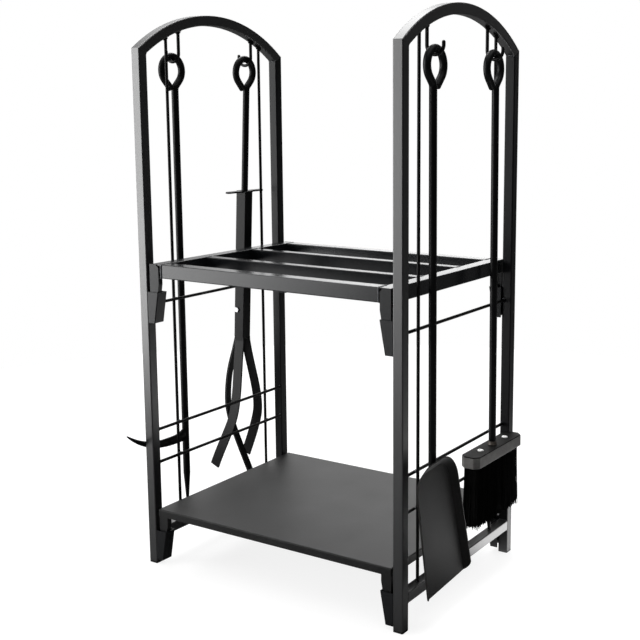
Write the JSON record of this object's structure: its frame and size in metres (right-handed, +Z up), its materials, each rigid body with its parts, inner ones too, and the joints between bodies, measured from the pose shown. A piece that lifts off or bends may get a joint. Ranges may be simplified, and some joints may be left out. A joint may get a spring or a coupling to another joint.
{
  "type": "firewood log rack with hearth tools",
  "caption": "Fireside log rack: arched tube side frames, a slatted shelf and a tray that lift out, and a poker, log tongs, shovel and brush hung from side hooks.",
  "frame": {"origin": "centre of the whole object's footprint, on the floor", "axes": "+Z up, +X towards the side that carries the shovel and the brush, -Y the front"},
  "size_m": [0.5455, 0.3515, 0.809],
  "materials": {
    "frame_coat": "satin black powder coat",
    "shelf_coat": "satin black powder coat",
    "sheet_coat": "satin black powder coat, slightly mottled",
    "pan_coat": "satin black powder coat",
    "tool_coat": "semi-gloss black enamel",
    "foot_plastic": "matt black",
    "bristle": "black synthetic bristle",
    "brush_block": "warm grey stained, matt",
    "brush_cap": "dark mottled",
    "brush_collar": "dull tan",
    "screw": "plain zinc",
    "bolt": "dark zinc"
  },
  "bodies": {
    "rack": {"left_arch": "frame_coat", "left_base_rail": "frame_coat", "left_cross_rods": "frame_coat", "left_foot_caps": "foot_plastic", "left_front_post": "frame_coat", "left_hooks": "frame_coat", "left_lower_sockets": "frame_coat", "left_rear_post": "frame_coat", "left_upper_sockets": "frame_coat", "left_upright_rods": "frame_coat", "right_arch": "frame_coat", "right_base_rail": "frame_coat", "right_cross_rods": "frame_coat", "right_foot_caps": "foot_plastic", "right_front_post": "frame_coat", "right_hooks": "frame_coat", "right_lower_sockets": "frame_coat", "right_rear_post": "frame_coat", "right_upper_sockets": "frame_coat", "right_upright_rods": "frame_coat"},
    "shelf": {"shelf_front_rail": "shelf_coat", "shelf_left_rail": "shelf_coat", "shelf_rear_rail": "shelf_coat", "shelf_right_rail": "shelf_coat", "shelf_slats": "shelf_coat", "shelf_tongues": "shelf_coat"},
    "tray": {"tray_pan": "sheet_coat", "tray_tongues": "sheet_coat"},
    "poker": {"poker_bar": "tool_coat", "poker_barb": "tool_coat"},
    "tongs_bar": {"tongs_drive_pin": "bolt", "tongs_handle": "tool_coat"},
    "tongs_body": {"tongs_channel": "tool_coat", "tongs_front_prong": "tool_coat", "tongs_guard": "tool_coat", "tongs_pivot_bolt": "bolt", "tongs_pivot_nut": "bolt", "tongs_rear_prong": "tool_coat"},
    "tongs_jaw": {"tongs_jaw": "tool_coat"},
    "shovel": {"shovel_handle": "tool_coat", "shovel_pan": "pan_coat"},
    "brush": {"brush_block": "brush_block", "brush_bristles": "bristle", "brush_collar": "brush_collar", "brush_handle": "tool_coat", "brush_plate": "brush_cap", "brush_screws": "screw"}
  },
  "joints": [
    {"name": "shelf_lift", "type": "slide", "parent": "rack", "child": "shelf", "axis": [0, 0, 1], "range_m": [0, 0.06]},
    {"name": "tray_lift", "type": "slide", "parent": "rack", "child": "tray", "axis": [0, 0, 1], "range_m": [0, 0.06]},
    {"name": "poker_swing", "type": "hinge", "parent": "rack", "child": "poker", "pos_m": [-0.2153, -0.0572, 0.73901], "axis": [1, 0, 0], "range_deg": [-4, 4]},
    {"name": "tongs_swing", "type": "hinge", "parent": "rack", "child": "tongs_bar", "pos_m": [-0.2118, 0.1068, 0.73938], "axis": [1, 0, 0], "range_deg": [-3, 3]},
    {"name": "tongs_slide", "type": "slide", "parent": "tongs_bar", "child": "tongs_body", "axis": [0.048, 0, 0.9988], "range_m": [0, 0.003]},
    {"name": "tongs_grip", "type": "hinge", "parent": "tongs_body", "child": "tongs_jaw", "pos_m": [-0.23628, 0.1073, 0.34271], "axis": [0, 1, 0], "range_deg": [0, 24]},
    {"name": "shovel_swing", "type": "hinge", "parent": "rack", "child": "shovel", "pos_m": [0.2397, -0.0752, 0.73901], "axis": [1, 0, 0], "range_deg": [-3, 3]},
    {"name": "brush_swing", "type": "hinge", "parent": "rack", "child": "brush", "pos_m": [0.2397, 0.0888, 0.74683], "axis": [0, -1, 0], "range_deg": [0, 12]}
  ],
  "couplings": [
    {"joint": "tongs_grip", "follows": "tongs_slide", "rad_per_m": 139.6}
  ]
}
